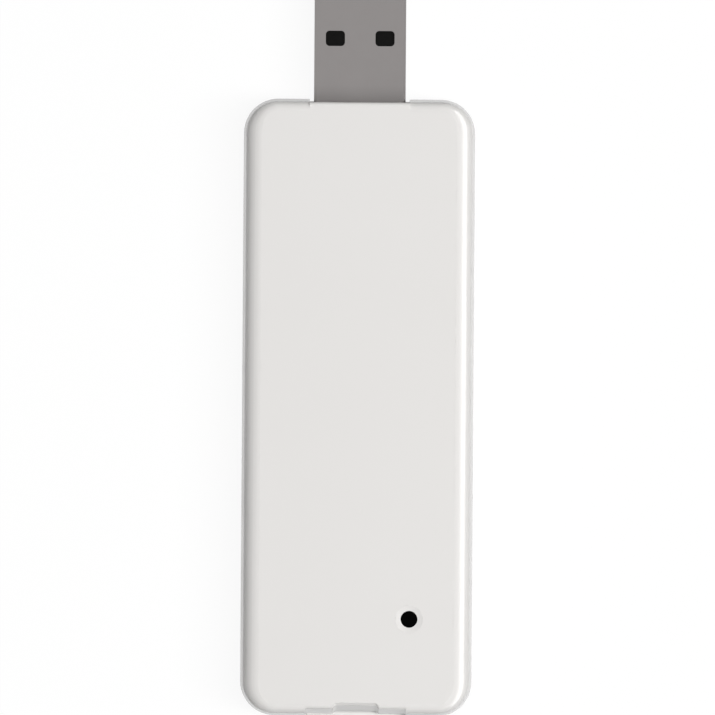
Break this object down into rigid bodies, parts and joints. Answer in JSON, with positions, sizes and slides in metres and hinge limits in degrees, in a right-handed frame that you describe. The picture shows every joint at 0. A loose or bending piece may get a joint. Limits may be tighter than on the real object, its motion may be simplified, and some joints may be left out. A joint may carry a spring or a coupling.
{
  "type": "usb cellular modem",
  "caption": "White stick-shaped cellular modem with a rounded two-shell plastic housing, a type A plug, a dark status light lens and a SIM slot in the far end",
  "frame": {"origin": "under the middle of the whole length and width, on the surface that the back face rests on", "axes": "+X across the stick, to the right in the picture; +Y along it towards the plug's tip; +Z out of the front face"},
  "size_m": [0.0304, 0.0948, 0.011],
  "materials": {
    "shell_white": "smooth moulded white",
    "smoked_lens": "polished smoked",
    "plug_steel": "satin nickel plate",
    "insulator_black": "moulded matte",
    "contact_gold": "gold plate",
    "board_green": "solder mask",
    "shield_tin": "tin plate",
    "chip_black": "moulded matte",
    "pad_grey": "soft silicone",
    "light_white": "clear over phosphor",
    "socket_cream": "moulded matte",
    "carrier_black": "moulded matte",
    "antenna_copper": "bright copper alloy",
    "capacitor_yellow": "moulded matte",
    "ferrite_grey": "sintered matte",
    "card_white": "printed card stock left bare"
  },
  "bodies": {
    "root": {"front_cover": "shell_white", "back_cover": "shell_white", "led_lens": "smoked_lens", "status_led": "light_white", "main_board": "board_green", "usb_plug_shell": "plug_steel", "usb_plug_insulator": "insulator_black", "usb_contact_ground": "contact_gold", "usb_contact_data_plus": "contact_gold", "usb_contact_data_minus": "contact_gold", "usb_contact_power": "contact_gold", "sim_card": "card_white", "sim_socket_base": "socket_cream", "sim_socket_cover": "shield_tin", "baseband_shield_frame": "shield_tin", "baseband_shield_lid": "shield_tin", "radio_shield_frame": "shield_tin", "radio_shield_lid": "shield_tin", "baseband_chip": "chip_black", "memory_chip": "chip_black", "power_management_chip": "chip_black", "crystal_oscillator": "shield_tin", "thermal_pad": "pad_grey", "radio_transceiver_chip": "chip_black", "power_amplifier_chip": "chip_black", "antenna_carrier": "carrier_black", "main_antenna": "antenna_copper", "diversity_antenna": "antenna_copper", "power_inductor": "ferrite_grey", "burst_capacitor_left": "capacitor_yellow", "burst_capacitor_middle": "capacitor_yellow", "main_rf_test_connector": "contact_gold", "diversity_rf_test_connector": "contact_gold", "usb_choke": "ferrite_grey", "sim_esd_protector": "chip_black", "sim_contact_1": "contact_gold", "sim_contact_2": "contact_gold", "sim_contact_3": "contact_gold", "sim_contact_4": "contact_gold", "sim_contact_5": "contact_gold", "sim_contact_6": "contact_gold"}
  },
  "joints": []
}
